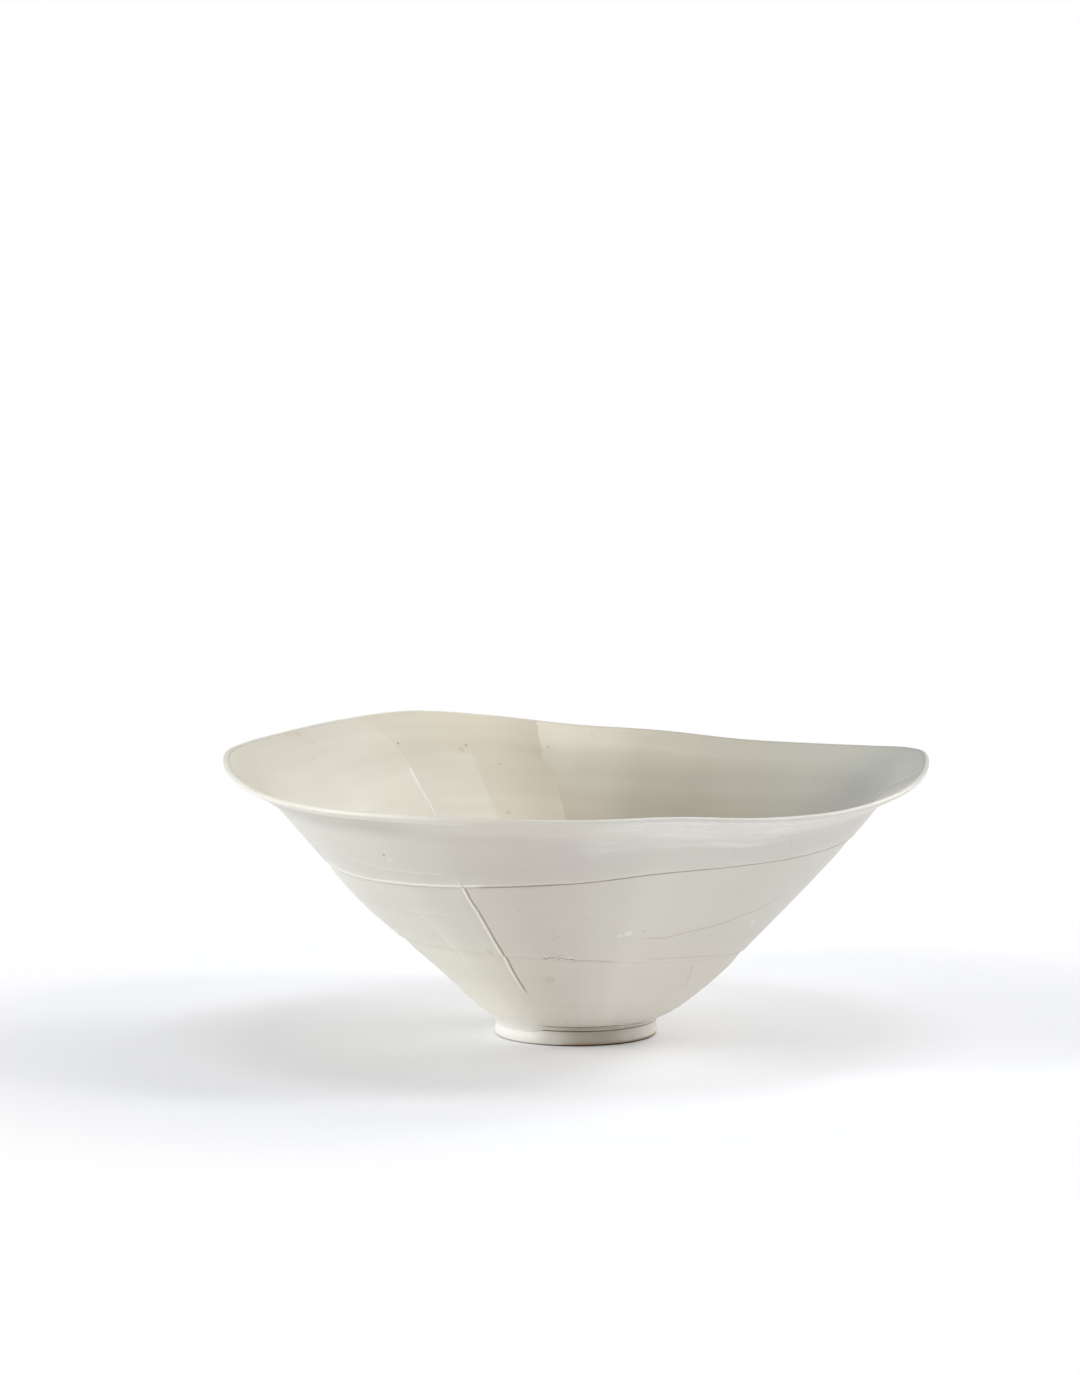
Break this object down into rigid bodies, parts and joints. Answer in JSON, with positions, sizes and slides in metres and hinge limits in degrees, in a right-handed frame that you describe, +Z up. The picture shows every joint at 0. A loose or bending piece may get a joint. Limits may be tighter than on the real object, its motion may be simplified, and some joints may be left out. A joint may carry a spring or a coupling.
{
  "type": "pottery bowl",
  "caption": "Wide, thin, white glazed studio bowl with a wavy flared lip, lapped wall sections, thin sheets laid inside and a small bare foot ring.",
  "frame": {"origin": "centre of the outline, at the height of the foot ring's underside", "axes": "+Z up through the mouth, +X to the right and +Y away from the camera in the picture"},
  "size_m": [0.3146, 0.3174, 0.1301],
  "materials": {
    "wall_glaze": "thin, smooth, satin to gloss white glaze, grey-cream where it lies thin",
    "sheet_glaze": "glossy, slightly warmer and more beige inside, with small iron specks",
    "bare_foot": "bare porcelain, wiped of glaze, lightly toasted at the edge"
  },
  "bodies": {
    "root": {"foot_ring": "bare_foot", "foot_joint_bead": "bare_foot", "base_cup": "wall_glaze", "middle_wall": "wall_glaze", "rim_band": "wall_glaze", "inner_sheet_left": "sheet_glaze", "inner_sheet_middle": "sheet_glaze", "inner_sheet_right": "sheet_glaze"}
  },
  "joints": []
}
